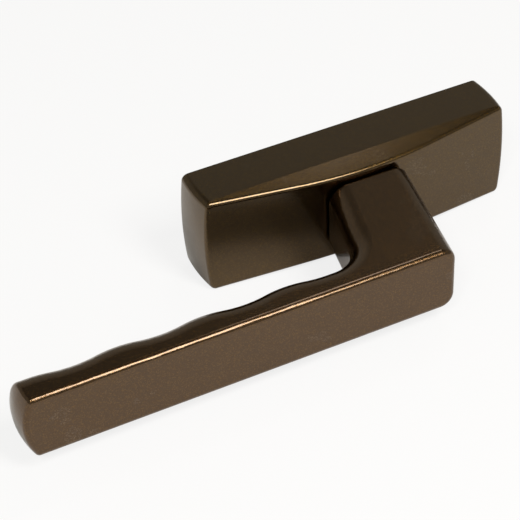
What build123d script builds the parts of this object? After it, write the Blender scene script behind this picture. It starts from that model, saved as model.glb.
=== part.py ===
from build123d import *
import math
import os

# Window handle with an L-shaped lever, a gabled base and a rack drive, in millimetres.
# It lies on its side: +X runs along the base, -Y out of the mounting face, +Z across the base.
# The origin is the centre of the mounting face, on the axis that the lever turns about.
# A depth is a distance out of the mounting face, so a point at depth d has y = -d.

# Base housing
BASE_LENGTH = 90.2
BASE_WIDTH = 29.0
END_BULGE = 0.95
END_BOW_RADIUS = 43.0
END_BOW_DEPTH = 5.5
CORNER_RADIUS = 1.9
END_DEPTH = 14.1
GABLE_ANGLE = 7.5
GABLE_BLEND_HALF = 18.9
CHAMFER_DEPTH = 13.2
CHAMFER_ANGLE = 18.6
FRONT_EDGE_RADIUS = 1.2
WALL = 2.5

# Lever
LEVER_REACH = 110.0
LEVER_DEPTH = 53.8
LEVER_HALF_WIDTH = 9.3
LEVER_THICKNESS = 10.6
DRAFT_ANGLE = 2.9
FREE_END_RADIUS = 19.0
FREE_END_BOW_RADIUS = 16.0
CORNER_END_X = 5.9
NECK_LEFT = 11.8
NECK_RIGHT = 11.2
NECK_GAP = 0.3
NECK_SLANT = 12.0
INNER_CORNER_RADIUS = 9.0
WAVE_PITCH = 22.3
WAVE_HEIGHT = 1.1
WAVE_COUNT = 3.5
FIRST_RECESS_X = -26.5
NECK_EDGE_RADIUS = 4.0
NECK_FOOT_RADIUS = 1.2
FREE_END_EDGE_RADIUS = 1.3
OUTER_EDGE_RADIUS = 1.5
INNER_EDGE_RADIUS = 5.5

# Spindle, journal and its bearing
JOURNAL_RADIUS = 6.5
JOURNAL_CLEARANCE = 0.05
SPINDLE_SIDE = 7.0
SPINDLE_IN_NECK = 15.0
SOCKET_CLEARANCE = 0.02
BUSH_WALL = 2.0
BEARING_BOSS_WALL = 2.5
NECK_WASHER_RADIUS = 9.8
NECK_WASHER_THICKNESS = 1.0
SEAT_CLEARANCE = 0.05
PIN_RADIUS = 1.25

# Layers of the mechanism, counted up from the mounting face
PLATE_THICKNESS = 1.5
SLIDE_CLEARANCE = 0.3
RACK_THICKNESS = 4.5
GUIDE_THICKNESS = 1.5
CAM_THICKNESS = 3.0
THRUST_WASHER_THICKNESS = 0.5
THRUST_WASHER_RADIUS = 8.0
END_PLAY = 0.2

# Rack and pinion
TEETH = 12
MODULE = 1.25
PRESSURE_ANGLE = 25.0
ADDENDUM = 1.0
ROOT_CLEARANCE = 0.25
BACKLASH = 0.3
FLANK_STEPS = 3
RACK_TEETH_BEHIND = 5
RACK_TEETH_AHEAD = 2
TURN_ANGLE = 90.0
HUB_RADIUS = 6.0
PEG_REST_X = 17.5
PEG_RADIUS = 3.5
PEG_LENGTH = 10.0
PEG_COLLAR_RADIUS = 4.2
PEG_TENON_RADIUS = 2.5
PEG_CHAMFER = 0.6
ARM_HALF_LENGTH = 4.5

# Detent
CAM_SIDE = 12.0
CAM_CORNER_RADIUS = 1.6
SPRING_THICKNESS = 0.5
SPRING_WIDTH = 2.4
SPRING_GAP = 0.05
SPRING_LEG = 13.0
SPRING_BEND_X = 15.0

# Fixings
FIXING_INSET = 6.7
FIXING_BOSS_RADIUS = 3.75
FIXING_HOLE_RADIUS = 2.1
FIXING_HOLE_DEPTH = 10.0
BOSS_STEP = 0.9
PLATE_SCREW_END_INSET = 11.1
PLATE_SCREW_SIDE_INSET = 6.0
PLATE_BOSS_RADIUS = 2.7
PLATE_SCREW_RADIUS = 1.45
PLATE_SCREW_HEAD_RADIUS = 2.7
PLATE_SCREW_HEAD_DEPTH = 1.2
PLATE_SCREW_LENGTH = 6.0
RETAINING_SCREW_RADIUS = 2.0
RETAINING_SCREW_LENGTH = 8.0
RETAINING_HEAD_RADIUS = 3.4
RETAINING_HEAD_DEPTH = 1.4
RETAINING_WASHER_RADIUS = 5.0
RETAINING_WASHER_THICKNESS = 0.8
DRIVE_SLOT = 0.8
DRIVE_SLOT_DEPTH = 0.6
HOLE_CLEARANCE = 0.3
PLATE_CLEARANCE = 0.1

# Places worked out from the sizes above
END_BULGE_RADIUS = (BASE_WIDTH**2 / 4 + END_BULGE**2) / (2 * END_BULGE)
GABLE_RADIUS = GABLE_BLEND_HALF / math.sin(math.radians(GABLE_ANGLE))
GABLE_SLOPE = math.tan(math.radians(GABLE_ANGLE))
PEAK_DEPTH = END_DEPTH + GABLE_SLOPE * BASE_LENGTH / 2
BLEND_DEPTH = PEAK_DEPTH - GABLE_SLOPE * GABLE_BLEND_HALF
MID_DEPTH = BLEND_DEPTH + GABLE_RADIUS * (1 - math.cos(math.radians(GABLE_ANGLE)))
ROOT_DEPTH = MID_DEPTH + NECK_GAP
RACK_BACK = PLATE_THICKNESS + SLIDE_CLEARANCE
RACK_FRONT = RACK_BACK + RACK_THICKNESS
GUIDE_BACK = RACK_FRONT + SLIDE_CLEARANCE
GUIDE_FRONT = GUIDE_BACK + GUIDE_THICKNESS
CAM_BACK = GUIDE_FRONT + SLIDE_CLEARANCE
CAM_FRONT = CAM_BACK + CAM_THICKNESS
SHOULDER_DEPTH = CAM_FRONT + THRUST_WASHER_THICKNESS
BUSH_BACK = SHOULDER_DEPTH + END_PLAY
WASHER_BACK = ROOT_DEPTH - SEAT_CLEARANCE - NECK_WASHER_THICKNESS
BUSH_RADIUS = JOURNAL_RADIUS + JOURNAL_CLEARANCE + BUSH_WALL
PINION_BACK = RACK_BACK + RETAINING_WASHER_THICKNESS
PITCH_RADIUS = MODULE * TEETH / 2
RACK_PITCH = math.pi * MODULE
STROKE = PITCH_RADIUS * math.radians(TURN_ANGLE)
CAVITY_HALF_WIDTH = BASE_WIDTH / 2 - WALL
RACK_OUTER_Z = CAVITY_HALF_WIDTH - SLIDE_CLEARANCE
RACK_ROOT_Z = PITCH_RADIUS + ADDENDUM + ROOT_CLEARANCE
RACK_TIP_Z = PITCH_RADIUS - ADDENDUM
FIXING_X = BASE_LENGTH / 2 - FIXING_INSET
PLATE_SCREW_X = BASE_LENGTH / 2 - PLATE_SCREW_END_INSET
PLATE_SCREW_Z = BASE_WIDTH / 2 - PLATE_SCREW_SIDE_INSET
ARM_REACH = PLATE_SCREW_Z - PLATE_BOSS_RADIUS - SLIDE_CLEARANCE
PLATE_SCREW_PLACES = [(-PLATE_SCREW_X, PLATE_SCREW_Z), (PLATE_SCREW_X, -PLATE_SCREW_Z)]
SPINDLE_CORNER = SPINDLE_SIDE / math.sqrt(2)
LEVER_BLANK_X = -LEVER_REACH - FREE_END_RADIUS
TOUCHING = 0.01


def front_plane(depth):
    """The plane at this depth, seen from the front: local x is X, local y is Z, normal out of the base."""
    return Plane.XZ.offset(depth)


def slab(outline, from_depth, to_depth):
    """An outline drawn in X and Z, made solid between two depths."""
    return extrude(front_plane(from_depth) * outline, to_depth - from_depth)


def disc(x, z, radius):
    return Pos(x, z) * Circle(radius)


def round_bar(radius, from_depth, to_depth, x=0, z=0):
    return slab(disc(x, z, radius), from_depth, to_depth)


def half_turn(shape):
    """The same piece on the other side of the lever's axis."""
    return Rot(0, 180, 0) * shape


def runs_along(edge, axis):
    return abs((edge % 0.5).dot(axis.direction)) > math.cos(math.radians(25))


# The base's outline at the mounting face: straight long sides and slightly bowed ends.
def base_outline(inset):
    half_width = BASE_WIDTH / 2 - inset
    end_x = BASE_LENGTH / 2 - inset
    corner_x = end_x - END_BULGE
    upper_right = (corner_x, half_width)
    lower_right = (corner_x, -half_width)
    lower_left = (-corner_x, -half_width)
    upper_left = (-corner_x, half_width)
    outline = make_face([
        Line(upper_left, upper_right),
        ThreePointArc(upper_right, (end_x, 0), lower_right),
        Line(lower_right, lower_left),
        ThreePointArc(lower_left, (-end_x, 0), upper_left),
    ])
    return fillet(outline.vertices(), CORNER_RADIUS)


# A wide drum round an axis along the depth. Its rim is bowed, and stands out furthest at widest_depth.
def drum(centre_x, radius, bow_radius, widest_depth, back, front):
    def rim(depth):
        return (centre_x + radius - (depth - widest_depth)**2 / (2 * bow_radius), -depth)

    profile = make_face([
        ThreePointArc(rim(front), rim(widest_depth), rim(back)),
        *Polyline([rim(back), (centre_x, -back), (centre_x, -front), rim(front)]).edges(),
    ])
    return revolve(profile, Axis((centre_x, 0, 0), (0, 1, 0)))


# The drum whose rim is the base's right end, bowed across the base and along its depth.
def end_drum(inset):
    centre_x = BASE_LENGTH / 2 - END_BULGE_RADIUS
    radius = END_BULGE_RADIUS - inset + END_BOW_DEPTH**2 / (2 * END_BOW_RADIUS)
    return drum(centre_x, radius, END_BOW_RADIUS, END_BOW_DEPTH, -WALL, MID_DEPTH + 2 * WALL)


# Two shallow slopes that meet in a long soft ridge, as a prism across the base.
def gable_prism(inset):
    end_y = -(PEAK_DEPTH - GABLE_SLOPE * BASE_LENGTH - inset)
    blend_y = -(BLEND_DEPTH - inset)
    ridge = (0, -(MID_DEPTH - inset))
    left_blend = (-GABLE_BLEND_HALF, blend_y)
    right_blend = (GABLE_BLEND_HALF, blend_y)
    left_end = (-BASE_LENGTH, end_y)
    right_end = (BASE_LENGTH, end_y)
    left_back = (-BASE_LENGTH, BASE_WIDTH)
    right_back = (BASE_LENGTH, BASE_WIDTH)
    profile = make_face([
        Line(left_end, left_blend),
        ThreePointArc(left_blend, ridge, right_blend),
        Line(right_blend, right_end),
        Line(right_end, right_back),
        Line(right_back, left_back),
        Line(left_back, left_end),
    ])
    return extrude(profile, BASE_WIDTH, both=True)


# The cross-section that bevels both long front edges, as a prism along the base.
def bevel_prism(inset):
    half_width = BASE_WIDTH / 2 - inset
    bevel_depth = MID_DEPTH + WALL
    lost = (bevel_depth - CHAMFER_DEPTH) * math.tan(math.radians(CHAMFER_ANGLE))
    back_y = BASE_WIDTH
    section = make_face(Polyline([
        (back_y, half_width),
        (-CHAMFER_DEPTH, half_width),
        (-bevel_depth, half_width - lost),
        (-bevel_depth, lost - half_width),
        (-CHAMFER_DEPTH, -half_width),
        (back_y, -half_width),
        (back_y, half_width),
    ]))
    return extrude(Plane.YZ * section, BASE_LENGTH, both=True)


def base_block(inset):
    right_end = end_drum(inset)
    tall = slab(Rectangle(2 * BASE_LENGTH, BASE_WIDTH - 2 * inset), 0, MID_DEPTH + WALL)
    tall = tall & right_end & half_turn(right_end)
    corners = tall.edges().filter_by(lambda edge: runs_along(edge, Axis.Y))
    return fillet(corners, CORNER_RADIUS) & gable_prism(inset) & bevel_prism(inset)


def is_front_edge(edge):
    """True on the rim of the gabled front, which stands forward of the chamfer's start."""
    depths = [-(edge @ t).Y for t in (0.0, 0.5, 1.0)]
    on_ridge_seam = runs_along(edge, Axis.Z) and abs((edge @ 0.5).X) < BASE_LENGTH / 3
    return min(depths) > (CHAMFER_DEPTH + END_DEPTH) / 2 and not on_ridge_seam


# Cast housing: outer block, hollowed from behind, with bosses for the bearing and the screws.
def make_base_housing():
    block = base_block(0)
    block = fillet(block.edges().filter_by(is_front_edge), FRONT_EDGE_RADIUS)
    cavity = base_block(WALL)
    posts = round_bar(BUSH_RADIUS + BEARING_BOSS_WALL, BUSH_BACK, MID_DEPTH)
    spring_post_radius = CAM_SIDE / 2
    posts += round_bar(spring_post_radius, GUIDE_FRONT, MID_DEPTH, SPRING_BEND_X, 0)
    for x in (-FIXING_X, FIXING_X):
        posts += round_bar(FIXING_BOSS_RADIUS, 0, MID_DEPTH, x, 0)
        posts += round_bar(FIXING_BOSS_RADIUS + BOSS_STEP, GUIDE_FRONT, MID_DEPTH, x, 0)
    for x, z in PLATE_SCREW_PLACES:
        posts += round_bar(PLATE_BOSS_RADIUS, PLATE_THICKNESS, MID_DEPTH, x, z)
        posts += round_bar(PLATE_BOSS_RADIUS + BOSS_STEP, GUIDE_FRONT, MID_DEPTH, x, z)
    housing = block - (cavity - posts)
    housing -= round_bar(BUSH_RADIUS, 0, ROOT_DEPTH)
    housing -= round_bar(NECK_WASHER_RADIUS + SEAT_CLEARANCE, WASHER_BACK, ROOT_DEPTH)
    for x in (-FIXING_X, FIXING_X):
        housing -= round_bar(FIXING_HOLE_RADIUS, 0, FIXING_HOLE_DEPTH, x, 0)
    screw_hole_radius = PLATE_SCREW_RADIUS + SEAT_CLEARANCE
    screw_hole_depth = PLATE_SCREW_LENGTH + SEAT_CLEARANCE
    for x, z in PLATE_SCREW_PLACES:
        housing -= round_bar(screw_hole_radius, 0, screw_hole_depth, x, z)
    return housing


# The lever's side view: what lies outside the neck's inner side and the finger recesses.
def lever_profile():
    crest_y = -(LEVER_DEPTH - LEVER_THICKNESS)
    recess_y = crest_y - WAVE_HEIGHT
    neck_rise = -recess_y - ROOT_DEPTH
    neck_left = (-NECK_LEFT, -ROOT_DEPTH)
    inner_corner = (-NECK_LEFT - neck_rise * math.tan(math.radians(NECK_SLANT)), recess_y)
    beyond_right = 2 * NECK_RIGHT
    half_wave = WAVE_PITCH / 2
    half_waves = round(2 * WAVE_COUNT)
    levels = [recess_y, crest_y]
    edges = [Line(neck_left, inner_corner), Line(inner_corner, (FIRST_RECESS_X, recess_y))]
    x = FIRST_RECESS_X
    for index in range(half_waves):
        here = levels[index % 2]
        there = levels[(index + 1) % 2]
        middle = (x - half_wave / 2, (here + there) / 2)
        edges.append(TangentArc((x, here), middle, tangent=(-1, 0)))
        edges.append(TangentArc((x - half_wave, there), middle, tangent=(1, 0)))
        x -= half_wave
    last = (x, levels[half_waves % 2])
    edges += Polyline([
        last,
        (LEVER_BLANK_X, last[1]),
        (LEVER_BLANK_X, -LEVER_DEPTH),
        (beyond_right, -LEVER_DEPTH),
        (beyond_right, -ROOT_DEPTH),
        neck_left,
    ]).edges()
    profile = make_face(edges)
    corner = profile.vertices().sort_by_distance(inner_corner)[0]
    return fillet(corner, INNER_CORNER_RADIUS)


# The lever's front view before its free end is cut: straight sides and a rounded corner end.
def lever_outline(half_width, corner_x):
    outline = make_face(Polyline([
        (LEVER_BLANK_X, half_width),
        (corner_x, half_width),
        (corner_x, -half_width),
        (LEVER_BLANK_X, -half_width),
        (LEVER_BLANK_X, half_width),
    ]))
    return fillet(outline.vertices().sort_by(Axis.X)[2:], NECK_EDGE_RADIUS)


# All that lies to the right of the free end, which is bowed across the lever and along its depth.
def free_end_limit():
    centre_x = LEVER_REACH - FREE_END_RADIUS
    middle_depth = LEVER_DEPTH - LEVER_THICKNESS / 2
    back = middle_depth - LEVER_THICKNESS
    front = middle_depth + LEVER_THICKNESS
    end = drum(centre_x, FREE_END_RADIUS, FREE_END_BOW_RADIUS, middle_depth, back, front)
    length = LEVER_REACH + NECK_RIGHT
    straight = Pos(length / 2 - centre_x, 0) * Rectangle(length, 2 * FREE_END_RADIUS)
    return half_turn(end) + slab(straight, 0, front)


def is_outer_edge(edge):
    """The rim of the lever's flat outer face, short of the free end."""
    on_face = all(abs((edge @ t).Y + LEVER_DEPTH) < TOUCHING for t in (0.0, 0.5, 1.0))
    return on_face and (edge @ 0.5).X > -LEVER_REACH


def is_inner_edge(edge):
    """The rim of the neck's inner side and of the finger recesses."""
    middle = edge @ 0.5
    inside = ROOT_DEPTH + TOUCHING < -middle.Y < LEVER_DEPTH - OUTER_EDGE_RADIUS - TOUCHING
    beside_neck = -2 * NECK_LEFT < middle.X < -NECK_LEFT / 2
    draft_seam = runs_along(edge, Axis.Y) and not beside_neck
    return inside and not runs_along(edge, Axis.Z) and not draft_seam


def square_hole():
    """The square that fits over the spindle."""
    return Rectangle(SPINDLE_SIDE + 2 * SOCKET_CLEARANCE, SPINDLE_SIDE + 2 * SOCKET_CLEARANCE)


def cross_pin(radius, half_length):
    """A pin across the journal, in the middle of the bush."""
    pin_depth = (BUSH_BACK + WASHER_BACK) / 2
    return extrude(Pos(0, -pin_depth, 0) * Circle(radius), half_length, both=True)


# Cast lever, drafted from its outer face to the root of the neck, with the journal turned on it.
def make_lever_handle():
    rise = LEVER_DEPTH - ROOT_DEPTH
    root_half_width = LEVER_HALF_WIDTH + rise * math.tan(math.radians(DRAFT_ANGLE))
    outer = front_plane(LEVER_DEPTH) * lever_outline(LEVER_HALF_WIDTH, CORNER_END_X)
    root = front_plane(ROOT_DEPTH) * lever_outline(root_half_width, NECK_RIGHT)
    lever = loft([root, outer], ruled=True)
    lever = lever & extrude(lever_profile(), 2 * LEVER_HALF_WIDTH, both=True)
    lever = fillet(lever.edges().filter_by(is_outer_edge), OUTER_EDGE_RADIUS)
    lever = fillet(lever.edges().filter_by(is_inner_edge), INNER_EDGE_RADIUS)
    lever = fillet(lever.faces().sort_by(Axis.Y)[-1].edges(), NECK_FOOT_RADIUS)
    lever = lever & free_end_limit()
    lever = fillet(lever.faces().sort_by(Axis.X)[0].edges(), FREE_END_EDGE_RADIUS)
    lever += round_bar(JOURNAL_RADIUS, SHOULDER_DEPTH, ROOT_DEPTH)
    lever -= slab(square_hole(), SHOULDER_DEPTH, ROOT_DEPTH + SPINDLE_IN_NECK)
    return lever - cross_pin(PIN_RADIUS + SOCKET_CLEARANCE, JOURNAL_RADIUS)


# Square steel spindle, pinned in the lever's journal and tapped at its tail.
def make_square_spindle():
    tail_depth = PINION_BACK + END_PLAY
    tip_depth = ROOT_DEPTH + SPINDLE_IN_NECK - END_PLAY
    spindle = slab(Rectangle(SPINDLE_SIDE, SPINDLE_SIDE), tail_depth, tip_depth)
    tapped_depth = RACK_BACK + RETAINING_SCREW_LENGTH + END_PLAY
    spindle -= round_bar(RETAINING_SCREW_RADIUS + SOCKET_CLEARANCE, tail_depth, tapped_depth)
    return spindle - cross_pin(PIN_RADIUS + SOCKET_CLEARANCE, SPINDLE_SIDE)


def make_spindle_pin():
    return cross_pin(PIN_RADIUS, JOURNAL_RADIUS - JOURNAL_CLEARANCE - END_PLAY)


def ring(outer_radius, inner_radius, from_depth, to_depth):
    return slab(Circle(outer_radius) - Circle(inner_radius), from_depth, to_depth)


# Plastic bush that the journal turns in, and the washer that the neck rides on.
def make_bearing_bush():
    return ring(BUSH_RADIUS - SOCKET_CLEARANCE, JOURNAL_RADIUS + JOURNAL_CLEARANCE, BUSH_BACK, WASHER_BACK)


def make_neck_washer():
    inner_radius = JOURNAL_RADIUS + JOURNAL_CLEARANCE
    return ring(NECK_WASHER_RADIUS, inner_radius, WASHER_BACK, WASHER_BACK + NECK_WASHER_THICKNESS)


# Steel washer that keeps the journal from pulling out through the bush.
def make_thrust_washer():
    return ring(THRUST_WASHER_RADIUS, SPINDLE_CORNER + SEAT_CLEARANCE, CAM_FRONT, SHOULDER_DEPTH)


# Square cam: the spring's legs rest on its flats at each quarter turn.
def make_detent_cam():
    outline = RectangleRounded(CAM_SIDE, CAM_SIDE, CAM_CORNER_RADIUS)
    return slab(outline - square_hole(), CAM_BACK, CAM_FRONT)


# Hairpin leaf spring round a post of the housing, with one leg on each side of the cam.
def make_detent_spring():
    inner = CAM_SIDE / 2 + SPRING_GAP
    outer = inner + SPRING_THICKNESS
    length = SPRING_BEND_X + SPRING_LEG
    legs = Pos(SPRING_BEND_X - length / 2, 0) * Rectangle(length, 2 * outer)
    room = Pos(SPRING_BEND_X - length / 2, 0) * Rectangle(length, 2 * inner)
    outline = legs + disc(SPRING_BEND_X, 0, outer) - room - disc(SPRING_BEND_X, 0, inner)
    spring_back = (CAM_BACK + CAM_FRONT - SPRING_WIDTH) / 2
    return slab(outline, spring_back, spring_back + SPRING_WIDTH)


# One flank of a tooth, from the root circle up the involute to the tip circle.
def flank_points(root_radius, tip_radius):
    pressure = math.radians(PRESSURE_ANGLE)
    base_radius = PITCH_RADIUS * math.cos(pressure)
    tooth_width = (RACK_PITCH - BACKLASH) / 2
    half_angle = tooth_width / 2 / PITCH_RADIUS + math.tan(pressure) - pressure
    points = [(root_radius, half_angle)]
    for step in range(FLANK_STEPS + 1):
        radius = base_radius + (tip_radius - base_radius) * step / FLANK_STEPS
        roll = math.acos(min(1, base_radius / radius))
        points.append((radius, half_angle - math.tan(roll) + roll))
    return points


def polar(radius, angle):
    return (radius * math.cos(angle), radius * math.sin(angle))


# Gear outline: every tooth has two involute flanks, a tip arc and a root arc.
def pinion_outline():
    root_radius = PITCH_RADIUS - ADDENDUM - ROOT_CLEARANCE
    tip_radius = PITCH_RADIUS + ADDENDUM
    flank = flank_points(root_radius, tip_radius)
    tooth_step = 2 * math.pi / TEETH
    root_half = flank[0][1]
    tip_half = flank[-1][1]
    edges = []
    for tooth in range(TEETH):
        centre = math.pi / 2 + tooth * tooth_step
        for side in (-1, 1):
            foot, *curve = [polar(radius, centre + side * angle) for radius, angle in flank]
            edges += [Line(foot, curve[0]), Spline(curve)]
        tip = [polar(tip_radius, centre + offset) for offset in (-tip_half, 0, tip_half)]
        edges.append(ThreePointArc(*tip))
        gap_centre = centre + tooth_step / 2
        gap_half = tooth_step / 2 - root_half
        root = [polar(root_radius, gap_centre + offset) for offset in (-gap_half, 0, gap_half)]
        edges.append(ThreePointArc(*root))
    return make_face(edges)


# Pinion on the spindle, with a hub that reaches through the guide plate to the cam.
def make_drive_pinion():
    gear = slab(pinion_outline() - square_hole(), PINION_BACK, RACK_FRONT)
    hub = slab(Circle(HUB_RADIUS) - square_hole(), RACK_FRONT, CAM_BACK)
    return gear + hub


def make_retaining_washer():
    inner_radius = RETAINING_SCREW_RADIUS + SEAT_CLEARANCE
    return ring(RETAINING_WASHER_RADIUS, inner_radius, RACK_BACK, PINION_BACK)


# Pan-head screw in the spindle's tail, with a straight slot.
def make_retaining_screw():
    head_back = RACK_BACK - RETAINING_HEAD_DEPTH
    head = round_bar(RETAINING_HEAD_RADIUS, head_back, RACK_BACK)
    shank = round_bar(RETAINING_SCREW_RADIUS, RACK_BACK, RACK_BACK + RETAINING_SCREW_LENGTH)
    slot = Rectangle(2 * RETAINING_HEAD_RADIUS, DRIVE_SLOT)
    return head + shank - slab(slot, head_back, head_back + DRIVE_SLOT_DEPTH)


# The rack's toothed side, as corner points in X and Z from its free end to its arm.
def rack_teeth():
    slope = math.tan(math.radians(PRESSURE_ANGLE))
    half_width = (RACK_PITCH - BACKLASH) / 4
    tip_half = half_width - ADDENDUM * slope
    root_half = half_width + (ADDENDUM + ROOT_CLEARANCE) * slope
    points = []
    for tooth in range(-RACK_TEETH_BEHIND, RACK_TEETH_AHEAD):
        centre = (tooth + 0.5) * RACK_PITCH
        points += [(centre - root_half, RACK_ROOT_Z), (centre - tip_half, RACK_TIP_Z)]
        points += [(centre + tip_half, RACK_TIP_Z), (centre + root_half, RACK_ROOT_Z)]
    return points


# Toothed slide with an arm that brings its peg to the base's centre line.
def make_rack():
    arm_inner = PEG_REST_X - ARM_HALF_LENGTH
    arm_outer = PEG_REST_X + ARM_HALF_LENGTH
    teeth = rack_teeth()
    free_end = teeth[0][0] - ROOT_CLEARANCE
    corners = [(free_end, RACK_OUTER_Z), (free_end, RACK_ROOT_Z)]
    corners += teeth
    corners += [(arm_inner, RACK_ROOT_Z), (arm_inner, -ARM_REACH), (arm_outer, -ARM_REACH)]
    corners += [(arm_outer, RACK_OUTER_Z), (free_end, RACK_OUTER_Z)]
    outline = make_face(Polyline(corners)) - disc(PEG_REST_X, 0, PEG_TENON_RADIUS + SOCKET_CLEARANCE)
    return slab(outline, RACK_BACK, RACK_FRONT)


# Turned peg that drives a window rod: a tenon riveted in the arm, a collar in the slot, a free end behind.
def make_drive_peg():
    free_end = round_bar(PEG_RADIUS, -PEG_LENGTH, 0, PEG_REST_X, 0)
    rim = free_end.edges().sort_by(Axis.Y)[-1]
    peg = chamfer(rim, PEG_CHAMFER)
    peg += round_bar(PEG_COLLAR_RADIUS, 0, RACK_BACK, PEG_REST_X, 0)
    return peg + round_bar(PEG_TENON_RADIUS, RACK_BACK, RACK_FRONT, PEG_REST_X, 0)


# Flat plate that fills the cavity and clears every boss.
def cavity_plate(from_depth, to_depth):
    plate = base_outline(WALL + PLATE_CLEARANCE)
    for x in (-FIXING_X, FIXING_X):
        plate -= disc(x, 0, FIXING_BOSS_RADIUS + PLATE_CLEARANCE)
    return slab(plate, from_depth, to_depth)


# Plastic plate that keeps the racks on the pinion, seated on the steps of the bosses.
def make_guide_plate():
    plate = cavity_plate(GUIDE_BACK, GUIDE_FRONT)
    plate -= round_bar(HUB_RADIUS + HOLE_CLEARANCE, GUIDE_BACK, GUIDE_FRONT)
    for x, z in PLATE_SCREW_PLACES:
        plate -= round_bar(PLATE_BOSS_RADIUS + PLATE_CLEARANCE, GUIDE_BACK, GUIDE_FRONT, x, z)
    return plate


def screw_head(growth, x, z):
    """A countersunk head, flush with the mounting face, or the seat for it."""
    shank_radius = PLATE_SCREW_RADIUS + growth
    rim = front_plane(0) * disc(x, z, PLATE_SCREW_HEAD_RADIUS + growth)
    neck = front_plane(PLATE_SCREW_HEAD_DEPTH) * disc(x, z, shank_radius)
    return loft([rim, neck], ruled=True)


# Steel back plate with slots for the pegs, flush with the housing's rim.
def make_back_plate():
    plate = cavity_plate(0, PLATE_THICKNESS)
    plate -= round_bar(RETAINING_WASHER_RADIUS + HOLE_CLEARANCE, 0, PLATE_THICKNESS)
    slot_height = 2 * (PEG_COLLAR_RADIUS + HOLE_CLEARANCE)
    slot = Pos(PEG_REST_X + STROKE / 2, 0) * SlotCenterToCenter(STROKE, slot_height)
    opening = slab(slot, 0, PLATE_THICKNESS)
    plate = plate - opening - half_turn(opening)
    for x, z in PLATE_SCREW_PLACES:
        plate -= round_bar(PLATE_SCREW_RADIUS + SEAT_CLEARANCE, 0, PLATE_THICKNESS, x, z)
        plate -= screw_head(SEAT_CLEARANCE, x, z)
    return plate


def make_plate_screws():
    screws = []
    for x, z in PLATE_SCREW_PLACES:
        shank = round_bar(PLATE_SCREW_RADIUS, PLATE_SCREW_HEAD_DEPTH, PLATE_SCREW_LENGTH, x, z)
        slot = Pos(x, z) * Rectangle(2 * PLATE_SCREW_HEAD_RADIUS, DRIVE_SLOT)
        screws.append(screw_head(0, x, z) + shank - slab(slot, 0, DRIVE_SLOT_DEPTH))
    return Compound(children=screws)


def export(shape, name):
    export_step(shape, os.path.join("parts", name + ".step"))


os.makedirs("parts", exist_ok=True)
export(make_base_housing(), "base_housing")
export(make_bearing_bush(), "bearing_bush")
export(make_neck_washer(), "neck_washer")
export(make_lever_handle(), "lever_handle")
export(make_square_spindle(), "square_spindle")
export(make_spindle_pin(), "spindle_pin")
export(make_thrust_washer(), "thrust_washer")
export(make_detent_cam(), "detent_cam")
export(make_detent_spring(), "detent_spring")
export(make_guide_plate(), "guide_plate")
export(make_drive_pinion(), "drive_pinion")
export(make_retaining_washer(), "retaining_washer")
export(make_retaining_screw(), "retaining_screw")
export(make_rack(), "upper_rack")
export(half_turn(make_rack()), "lower_rack")
export(make_drive_peg(), "upper_drive_peg")
export(half_turn(make_drive_peg()), "lower_drive_peg")
export(make_back_plate(), "back_plate")
export(make_plate_screws(), "plate_screws")
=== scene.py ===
import math

import bpy
from mathutils import Matrix, Vector


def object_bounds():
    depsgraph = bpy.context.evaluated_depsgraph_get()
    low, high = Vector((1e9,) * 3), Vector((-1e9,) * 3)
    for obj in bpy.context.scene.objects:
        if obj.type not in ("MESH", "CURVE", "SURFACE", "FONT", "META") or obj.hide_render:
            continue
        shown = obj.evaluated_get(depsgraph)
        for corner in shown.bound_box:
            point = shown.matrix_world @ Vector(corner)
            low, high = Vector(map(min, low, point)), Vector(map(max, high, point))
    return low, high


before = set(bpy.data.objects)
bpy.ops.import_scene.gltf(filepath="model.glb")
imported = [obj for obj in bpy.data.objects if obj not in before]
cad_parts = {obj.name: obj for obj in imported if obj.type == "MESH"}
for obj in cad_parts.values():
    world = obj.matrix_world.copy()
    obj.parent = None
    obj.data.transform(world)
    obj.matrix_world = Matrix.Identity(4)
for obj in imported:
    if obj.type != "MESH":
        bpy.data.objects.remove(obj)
cad_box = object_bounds()


# Base housing: one aluminium die casting, hollow behind, screwed to the window's frame from inside.
# It is sprayed with a satin bronze coat: gold flake in a brown ground under a clear lacquer,
# with a faint orange peel and a few grains of dust.
class Wire:
    """One output in a material's nodes. Arithmetic on it adds Math nodes."""

    def __init__(self, tree, socket):
        self.tree = tree
        self.socket = socket

    @classmethod
    def coordinates(cls, tree, kind):
        """The first wire of an emptied tree: one of its texture coordinates."""
        tree.nodes.clear()
        return cls(tree, tree.nodes.new("ShaderNodeTexCoord").outputs[kind])

    def make(self, kind, settings, values, output=0):
        node = self.tree.nodes.new(kind)
        for name, value in settings.items():
            setattr(node, name, value)
        for name, value in values.items():
            if isinstance(value, Wire):
                self.tree.links.new(value.socket, node.inputs[name])
            else:
                node.inputs[name].default_value = value
        return Wire(self.tree, node.outputs[output]) if node.outputs else None

    def math(self, operation, first, second):
        return self.make("ShaderNodeMath", {"operation": operation}, {0: first, 1: second})

    def __add__(self, other):
        return self.math("ADD", self, other)

    def __sub__(self, other):
        return self.math("SUBTRACT", self, other)

    def __rsub__(self, other):
        return self.math("SUBTRACT", other, self)

    def __mul__(self, other):
        return self.math("MULTIPLY", self, other)

    def __gt__(self, other):
        return self.math("GREATER_THAN", self, other)

    def __lt__(self, other):
        return self.math("LESS_THAN", self, other)

    __radd__ = __add__
    __rmul__ = __mul__


def new_finish(name):
    """An empty material, and the wire of its Object coordinates."""
    material = bpy.data.materials.new(name)
    material.use_nodes = True
    return material, Wire.coordinates(material.node_tree, "Object")


def noise(place, per_metre, detail=2.0, roughness=0.5):
    return place.make("ShaderNodeTexNoise", {}, {
        "Vector": place, "Scale": per_metre, "Detail": detail, "Roughness": roughness,
    })


def grains(place, per_metre, output):
    """Cells of a Voronoi pattern: the distance to a cell's middle, or its own random colour."""
    return place.make("ShaderNodeTexVoronoi", {}, {"Vector": place, "Scale": per_metre}, output)


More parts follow.
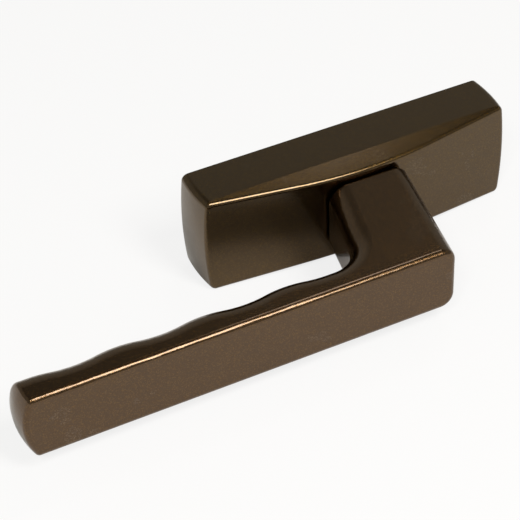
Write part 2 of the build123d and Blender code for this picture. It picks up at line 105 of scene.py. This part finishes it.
def channel(place, colour, index):
    return place.make("ShaderNodeSeparateColor", {}, {0: colour}, index)


def toned(colour, share):
    """A colour made darker or lighter by a share, as a socket takes it."""
    return tuple(share * c for c in colour) + (1,)


def tint(place, amount, low, high):
    """A colour between two others."""
    return place.make("ShaderNodeMix", {"data_type": "RGBA"}, {0: amount, 6: low, 7: high}, 2)


def relief(place, height, depth, strength):
    """A normal that follows a fine relief, whose depth is in metres."""
    return place.make("ShaderNodeBump", {}, {
        "Strength": strength, "Distance": depth, "Height": height,
    })


def cover(place, values):
    shader = place.make("ShaderNodeBsdfPrincipled", {}, values)
    place.make("ShaderNodeOutputMaterial", {}, {"Surface": shader})


def dress(material, *names):
    """Gives these CAD nodes one material."""
    for name in names:
        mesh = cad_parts[name].data
        mesh.materials.clear()
        mesh.materials.append(material)


def shade_by_area(name):
    """Large faces set a casting's shading, so that slivers in its mesh don't break a highlight."""
    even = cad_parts[name].modifiers.new("shade_by_area", "WEIGHTED_NORMAL")
    even.keep_sharp = False


def bronze_coat(name, brown):
    """Gold flake and a soft mottle in a brown ground, with dust, under a clear satin lacquer."""
    flakes_per_metre, gold_above, gold_share = 4000, 0.65, 0.45
    dust_per_metre, dust_above, dust_radius, dust_share = 170, 0.965, 0.05, 0.6
    film_per_metre, film_above, film_share = 75, 0.63, 0.08
    mottle_per_metre, peel_per_metre, peel_depth = 90, 1400, 0.00003
    gold = (2.3 * brown[0], 2.5 * brown[1], 2.2 * brown[2], 1)
    dust_grey = (0.42, 0.4, 0.37, 1)
    grazing_tint = (0.6, 0.58, 0.56, 1)

    material, place = new_finish(name)
    flake_colour = grains(place, flakes_per_metre, "Color")
    flake = channel(place, flake_colour, 0)
    flake_turn = channel(place, flake_colour, 1)
    mottle = noise(place, mottle_per_metre, 4.0, 0.6)
    dusty_cell = channel(place, grains(place, dust_per_metre, "Color"), 0) > dust_above
    dust = dusty_cell * (grains(place, dust_per_metre, "Distance") < dust_radius)
    film = (noise(place, film_per_metre, 3.0) > film_above) * (flake > 0.5) * flake_turn

    ground = tint(place, mottle, toned(brown, 0.9), toned(brown, 1.1))
    flaked = tint(place, (flake > gold_above) * gold_share * flake_turn, ground, gold)
    cover(place, {
        "Base Color": tint(place, dust * dust_share + film * film_share, flaked, dust_grey),
        "Metallic": 1.0 - 0.8 * dust,
        "Roughness": 0.22 + 0.06 * (mottle - 0.5) + 0.06 * (flake_turn - 0.5),
        "Specular Tint": grazing_tint,
        "Normal": relief(place, flake + noise(place, peel_per_metre, 2.0), peel_depth, 0.2),
        "Coat Weight": 1.0 - 0.6 * dust,
        "Coat Roughness": 0.15,
        "Coat IOR": 1.45,
    })
    return material


# The coat's own brown, made darker than the lever's as painted shade for the shaded table that the
# housing's front reflects.
shaded_housing_brown = (0.07, 0.037, 0.0055)
dress(bronze_coat("bronze_housing", shaded_housing_brown), "base_housing")
shade_by_area("base_housing")


# Bearing bush and neck washer: moulded in black nylon and pressed into the housing's front.
# The lever's journal turns in the bush, and the lever's neck rides on the washer.
def moulded_nylon(name, black):
    """A cloudy black with the fine grain of the mould."""
    clouds_per_metre, grain_per_metre, grain_depth = 160, 2600, 0.00003
    material, place = new_finish(name)
    cloud = noise(place, clouds_per_metre, 3.0)
    grain = noise(place, grain_per_metre, 3.0, 0.6)
    cover(place, {
        "Base Color": tint(place, cloud, toned(black, 0.8), toned(black, 1.3)),
        "Roughness": 0.5 + 0.2 * (grain - 0.5),
        "Normal": relief(place, grain, grain_depth, 0.3),
    })
    return material


dark_nylon = moulded_nylon("dark_nylon", (0.03, 0.03, 0.031))
dress(dark_nylon, "bearing_bush", "neck_washer")


# Lever: one aluminium casting, with the neck, the grip's finger recesses and the turned journal.
# It has the housing's bronze coat, its brown made lighter as painted light, because the lever's front
# reflects the lit table.
lit_lever_brown = (0.083, 0.0415, 0.0115)
dress(bronze_coat("bronze_lever", lit_lever_brown), "lever_handle")
shade_by_area("lever_handle")


# Spindle, its cross pin and the thrust washer: steel, drawn or turned, then zinc plated.
# The pin holds the square spindle in the journal, and the washer keeps the lever from pulling out.
def zinc_plate(name, metal, drawn):
    """Plated or blued steel with a soft bloom. The drawn lines are finest along the largest scale."""
    lines_per_metre, bloom_per_metre, line_depth = 900, 140, 0.00002
    material, place = new_finish(name)
    stretched = place.make("ShaderNodeMapping", {}, {"Vector": place, "Scale": drawn})
    drawn_lines = noise(stretched, lines_per_metre, 3.0, 0.6)
    bloom = noise(place, bloom_per_metre, 4.0, 0.6)
    cover(place, {
        "Base Color": tint(place, bloom, toned(metal, 0.82), toned(metal, 1.12)),
        "Metallic": 1.0,
        "Roughness": 0.3 + 0.18 * (bloom - 0.5) + 0.16 * (drawn_lines - 0.5),
        "Normal": relief(place, drawn_lines, line_depth, 0.2),
    })
    return material


turned_zinc = zinc_plate("turned_zinc", (0.55, 0.55, 0.53), (1, 6, 1))
dress(turned_zinc, "square_spindle", "spindle_pin", "thrust_washer")


# Detent: a square cam blanked from zinc-plated steel, and a hairpin of blued spring steel.
# The cam sits on the spindle, and the spring's legs hold its flats at each quarter turn.
blanked_zinc = zinc_plate("blanked_zinc", (0.5, 0.5, 0.49), (1, 1, 8))
dress(blanked_zinc, "detent_cam")
dress(zinc_plate("blued_spring", (0.09, 0.1, 0.13), (8, 1, 1)), "detent_spring")


# Guide plate: a flat black nylon moulding between the detent and the racks.
# It lies on the housing's bosses and keeps the racks on the pinion.
dress(dark_nylon, "guide_plate")


# Pinion: a toothed steel wheel on the spindle, zinc plated, with a turned washer over it.
# A screw in the spindle's tail holds it, passivated yellow as small screws are.
passivated_zinc = zinc_plate("passivated_zinc", (0.56, 0.46, 0.25), (6, 1, 1))
dress(blanked_zinc, "drive_pinion")
dress(turned_zinc, "retaining_washer")
dress(passivated_zinc, "retaining_screw")


# Racks and drive pegs: two blanked steel slides with teeth, one on each side of the pinion.
# A turned peg is riveted in each, and moves one of the window's rods.
dress(blanked_zinc, "upper_rack", "lower_rack")
dress(turned_zinc, "upper_drive_peg", "lower_drive_peg")


# Back plate: a blanked steel plate with the pegs' slots, which closes the housing behind.
# Two countersunk screws hold it to the housing.
dress(blanked_zinc, "back_plate")
dress(passivated_zinc, "plate_screws")


# Studio: a white table that the handle lies on, two soft lamps in front of it and a weak one behind,
# in a warm room that is dimmer overhead. The camera sees the table as nearly white, the coat's gloss
# sees a little more white than the lamps give it, and the table keeps a faint shadow.
scene = bpy.context.scene
scene.view_settings.view_transform = "Standard"

table_z = cad_box[0][2]
table_half = 8
table_corners = [
    (-table_half, -table_half, table_z), (table_half, -table_half, table_z),
    (table_half, table_half, table_z), (-table_half, table_half, table_z),
]
floor_mesh = bpy.data.meshes.new("floor")
floor_mesh.from_pydata(table_corners, [], [(0, 1, 2, 3)])
floor = bpy.data.objects.new("floor", floor_mesh)
scene.collection.objects.link(floor)

table_top, place = new_finish("table_top")
lit = place.make("ShaderNodeBsdfDiffuse", {}, {"Color": (0.9, 0.9, 0.9, 1)})
white = place.make("ShaderNodeEmission", {}, {"Color": (1, 1, 1, 1), "Strength": 1.0})
to_camera = place.make("ShaderNodeLightPath", {}, {}, "Is Camera Ray")
in_gloss = place.make("ShaderNodeLightPath", {}, {}, "Is Glossy Ray")
through_glass = place.make("ShaderNodeLightPath", {}, {}, "Is Transmission Ray")
white_seen, white_mirrored = 0.8, 0.04
white_share = white_seen * to_camera + white_mirrored * in_gloss + white_mirrored * through_glass
surface = place.make("ShaderNodeMixShader", {}, {0: white_share, 1: lit, 2: white})
place.make("ShaderNodeOutputMaterial", {}, {"Surface": surface})
floor_mesh.materials.append(table_top)

room = bpy.data.worlds.new("room")
room.use_nodes = True
sky = Wire.coordinates(room.node_tree, "Generated")
sky_height = sky.make("ShaderNodeSeparateXYZ", {}, {0: sky}, 2)
walls_end, ceiling_starts, wall_strength, ceiling_strength = 0.6, 0.74, 0.34, 0.14
sky_strength = sky.make("ShaderNodeMapRange", {}, {
    "Value": sky_height, "From Min": walls_end, "From Max": ceiling_starts,
    "To Min": wall_strength, "To Max": ceiling_strength,
})
glow = sky.make("ShaderNodeBackground", {}, {"Color": (1, 0.97, 0.85, 1), "Strength": sky_strength})
sky.make("ShaderNodeOutputWorld", {}, {"Surface": glow})
scene.world = room


def soft_lamp(name, stand, width, height, watts):
    """A rectangular lamp that points at the middle of the handle."""
    aim = Vector((0, -0.02, 0))
    lamp = bpy.data.lights.new(name, "AREA")
    lamp.shape = "RECTANGLE"
    lamp.size = width
    lamp.size_y = height
    lamp.energy = watts
    lamp.color = (1, 0.97, 0.94)
    holder = bpy.data.objects.new(name, lamp)
    holder.location = stand
    holder.rotation_euler = (aim - Vector(stand)).to_track_quat("-Z", "Y").to_euler()
    scene.collection.objects.link(holder)


soft_lamp("key", (-0.4, -0.5, 0.7), width=0.2, height=0.2, watts=2.8)
soft_lamp("window", (0.18, -0.57, 0.74), width=0.25, height=0.45, watts=5.2)
soft_lamp("rim", (0.35, 0.31, 0.83), width=0.2, height=0.2, watts=0.44)


# Camera: in front of the handle, to its left and well above it, with a long lens.
# It is rolled a little, which puts the base at the slope that it has in the picture.
azimuth, elevation, roll = (math.radians(a) for a in (-24.5991, 40.3606, -2.6772))
seen_from = Vector((-0.17988, -0.34233, 0.29719))
sensor_mm, focal_pixels, picture_pixels = 36, 1800, 520

back = Vector((
    math.sin(azimuth) * math.cos(elevation),
    -math.cos(azimuth) * math.cos(elevation),
    math.sin(elevation),
))
level = Vector((math.cos(azimuth), math.sin(azimuth), 0))
right = level * math.cos(roll) + back.cross(level) * math.sin(roll)
up = back.cross(right)
camera = bpy.data.objects.new("camera", bpy.data.cameras.new("camera"))
camera.data.sensor_width = sensor_mm
camera.data.lens = sensor_mm * focal_pixels / picture_pixels
camera.data.clip_start = 0.01
turn = Matrix((right, up, back)).transposed().to_4x4()
camera.matrix_world = Matrix.Translation(seen_from) @ turn
scene.collection.objects.link(camera)
scene.camera = camera
